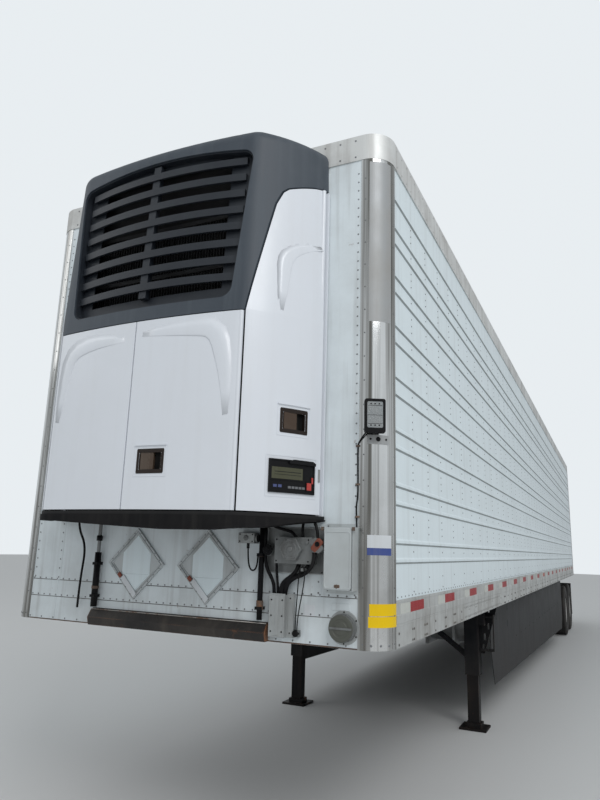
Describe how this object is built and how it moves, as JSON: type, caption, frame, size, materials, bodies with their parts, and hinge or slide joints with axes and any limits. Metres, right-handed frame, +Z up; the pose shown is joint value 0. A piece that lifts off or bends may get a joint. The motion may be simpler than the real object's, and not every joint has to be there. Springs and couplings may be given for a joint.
{
  "type": "refrigerated semi trailer",
  "caption": "Insulated box semi trailer on a tandem with twin wheels, with a refrigeration unit on its nose, hinged rear doors and a landing gear that it is parked on.",
  "frame": {"origin": "middle of the footprint, on the ground", "axes": "+X to the road side, +Y from the nose to the rear doors, +Z up"},
  "size_m": [2.591, 16.728, 4.115],
  "materials": {
    "panel": "white paint on riveted aluminium sheet",
    "roof_sheet": "mill finish",
    "rail": "weathered mill finish",
    "post": "bright rolled stainless sheet",
    "deck": "ribbed extrusion",
    "frame_steel": "black paint, dusty",
    "leg_steel": "black paint with rust at the feet",
    "apron_steel": "worn black paint over rust",
    "door_steel": "stainless",
    "galvanised": "zinc coated",
    "skirt": "dark grey composite sheet",
    "tyre": "worn black",
    "wheel": "white powder coat",
    "spring": "moulded black",
    "unit_panel": "white moulded skin",
    "fascia": "dark slate grey",
    "grille": "dark grey",
    "core": "dark machinery",
    "black_rubber": "matt",
    "black_plastic": "moulded",
    "lens": "clear lens",
    "tank": "dull",
    "fitting": "cast, weathered"
  },
  "bodies": {
    "trailer": {"floor": "deck", "crossmembers": "frame_steel", "front_wall": "panel", "wall_road_side": "panel", "wall_kerb_side": "panel", "roof": "roof_sheet", "top_rail": "rail", "bottom_rail_road_side": "rail", "bottom_rail_kerb_side": "rail", "corner_posts": "post", "rear_frame": "door_steel", "coupler_plate": "frame_steel", "kingpin": "galvanised", "nose_apron": "apron_steel", "leg_tubes": "leg_steel", "leg_rams": "leg_steel", "leg_braces": "leg_steel", "leg_crank": "leg_steel", "skirts": "skirt", "body_rails": "frame_steel", "slider_frame": "frame_steel", "trailing_arms": "frame_steel", "air_springs": "spring", "axles": "frame_steel", "mud_flaps": "black_rubber", "underride_guard": "galvanised", "dock_bumpers": "black_rubber", "fuel_tank": "tank", "unit_frame": "core", "unit_fascia": "fascia", "unit_grille": "grille", "unit_bumper": "black_rubber", "unit_core": "core", "document_box": "panel", "placard_frames": "fitting", "connection_box": "fitting", "front_fittings": "fitting", "lamps": "lens", "drain_hose": "black_rubber", "socket_cable": "black_rubber", "main_cable": "black_rubber", "tie_strap": "black_rubber"},
    "door_road_side": {"door_road_side": "panel", "lock_rods_road_side": "galvanised"},
    "door_kerb_side": {"door_kerb_side": "panel", "lock_rods_kerb_side": "galvanised"},
    "unit_door_road_side": {"unit_door_road_side": "unit_panel"},
    "unit_door_kerb_side": {"unit_door_kerb_side": "unit_panel"},
    "unit_side_road_side": {"unit_side_road_side": "unit_panel", "control_panel": "black_plastic"},
    "unit_side_kerb_side": {"unit_side_kerb_side": "unit_panel"},
    "document_box_lid": {"document_box_lid": "panel"},
    "wheels_road_front": {"tyres_road_front": "tyre", "wheel_road_front": "wheel"},
    "wheels_road_rear": {"tyres_road_rear": "tyre", "wheel_road_rear": "wheel"},
    "wheels_kerb_front": {"tyres_kerb_front": "tyre", "wheel_kerb_front": "wheel"},
    "wheels_kerb_rear": {"tyres_kerb_rear": "tyre", "wheel_kerb_rear": "wheel"}
  },
  "joints": [
    {"name": "spin_road_front", "type": "hinge", "parent": "trailer", "child": "wheels_road_front", "pos_m": [0.984, 4.985, 0.515], "axis": [1, 0, 0], "continuous": true},
    {"name": "spin_road_rear", "type": "hinge", "parent": "trailer", "child": "wheels_road_rear", "pos_m": [0.984, 6.23, 0.515], "axis": [1, 0, 0], "continuous": true},
    {"name": "spin_kerb_front", "type": "hinge", "parent": "trailer", "child": "wheels_kerb_front", "pos_m": [-0.984, 4.985, 0.515], "axis": [1, 0, 0], "continuous": true},
    {"name": "spin_kerb_rear", "type": "hinge", "parent": "trailer", "child": "wheels_kerb_rear", "pos_m": [-0.984, 6.23, 0.515], "axis": [1, 0, 0], "continuous": true},
    {"name": "swing_door_road_side", "type": "hinge", "parent": "trailer", "child": "door_road_side", "pos_m": [1.285, 8.341, 2.69], "axis": [0, 0, -1], "range_deg": [0, 265]},
    {"name": "swing_unit_door_road_side", "type": "hinge", "parent": "trailer", "child": "unit_door_road_side", "pos_m": [0.628, -8.303, 2.38], "axis": [0, 0, 1], "range_deg": [0, 90]},
    {"name": "swing_unit_side_road_side", "type": "hinge", "parent": "trailer", "child": "unit_side_road_side", "pos_m": [0.915, -7.905, 2.38], "axis": [0, 0, 1], "range_deg": [0, 90]},
    {"name": "swing_door_kerb_side", "type": "hinge", "parent": "trailer", "child": "door_kerb_side", "pos_m": [-1.285, 8.341, 2.69], "axis": [0, 0, 1], "range_deg": [0, 265]},
    {"name": "swing_unit_door_kerb_side", "type": "hinge", "parent": "trailer", "child": "unit_door_kerb_side", "pos_m": [-0.628, -8.303, 2.38], "axis": [0, 0, -1], "range_deg": [0, 90]},
    {"name": "swing_unit_side_kerb_side", "type": "hinge", "parent": "trailer", "child": "unit_side_kerb_side", "pos_m": [-0.915, -7.905, 2.38], "axis": [0, 0, -1], "range_deg": [0, 90]},
    {"name": "lift_document_box_lid", "type": "hinge", "parent": "trailer", "child": "document_box_lid", "pos_m": [1.056, -7.945, 1.786], "axis": [-1, 0, 0], "range_deg": [0, 120]}
  ]
}
